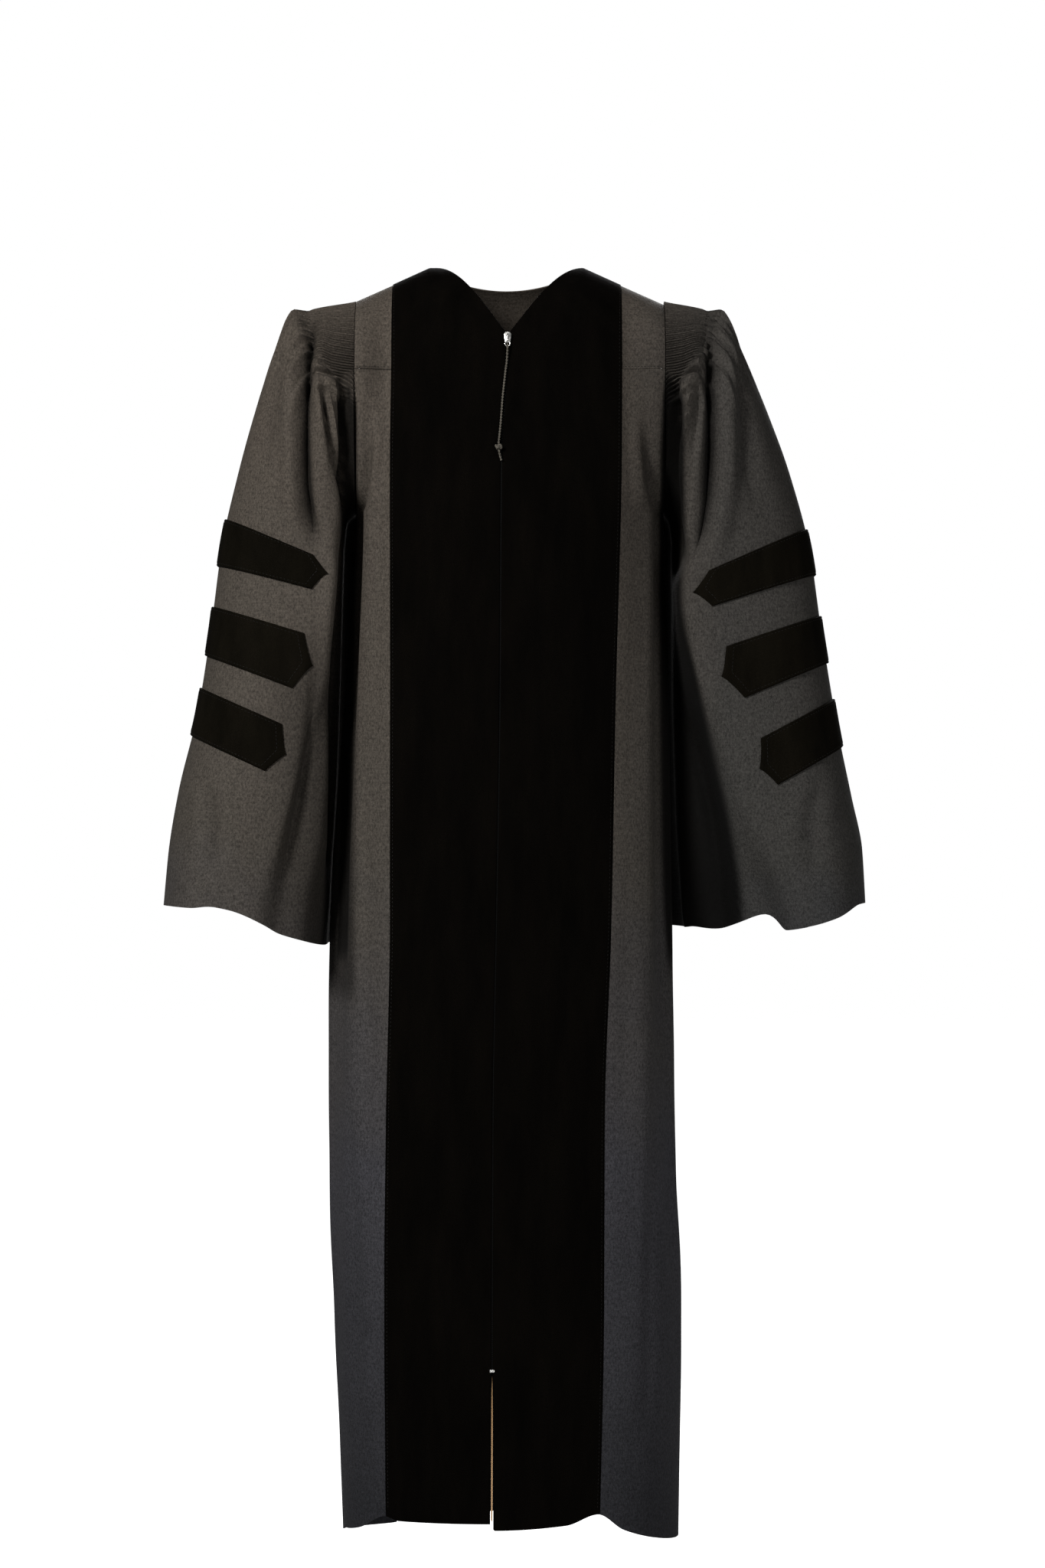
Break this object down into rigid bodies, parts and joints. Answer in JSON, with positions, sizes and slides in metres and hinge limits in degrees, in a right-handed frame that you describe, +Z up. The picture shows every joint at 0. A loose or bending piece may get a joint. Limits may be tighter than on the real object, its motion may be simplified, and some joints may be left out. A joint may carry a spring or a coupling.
{
  "type": "doctoral gown",
  "caption": "Black doctoral gown with velvet front panels, a front zip with a cord pull, gathered bell sleeves and pointed velvet sleeve bars.",
  "frame": {"origin": "the middle of the gown's shoulder line at neck height, where the wearer's shoulders carry it", "axes": "+Z up along the gown's length; -Y is the front with the zip; +X is the wearer's left"},
  "size_m": [0.7774, 0.324, 1.4068],
  "materials": {
    "gown_cloth": "fine matt black weave",
    "velvet": "short black pile",
    "zip_tape": "woven tape",
    "zip_metal": "polished nickel",
    "pull_cord": "twisted cord"
  },
  "bodies": {
    "root": {"front_left": "gown_cloth", "front_right": "gown_cloth", "yoke_front_left": "gown_cloth", "yoke_front_right": "gown_cloth", "yoke_back": "gown_cloth", "back_panel": "gown_cloth", "sleeve_left": "gown_cloth", "sleeve_right": "gown_cloth", "velvet_left": "velvet", "velvet_right": "velvet", "bar_left_upper": "velvet", "bar_left_middle": "velvet", "bar_left_lower": "velvet", "bar_right_upper": "velvet", "bar_right_middle": "velvet", "bar_right_lower": "velvet", "zip_tape": "zip_tape", "zip_slider": "zip_metal", "zip_stop": "zip_metal", "zip_cord": "pull_cord", "cord_knot": "pull_cord"}
  },
  "joints": []
}
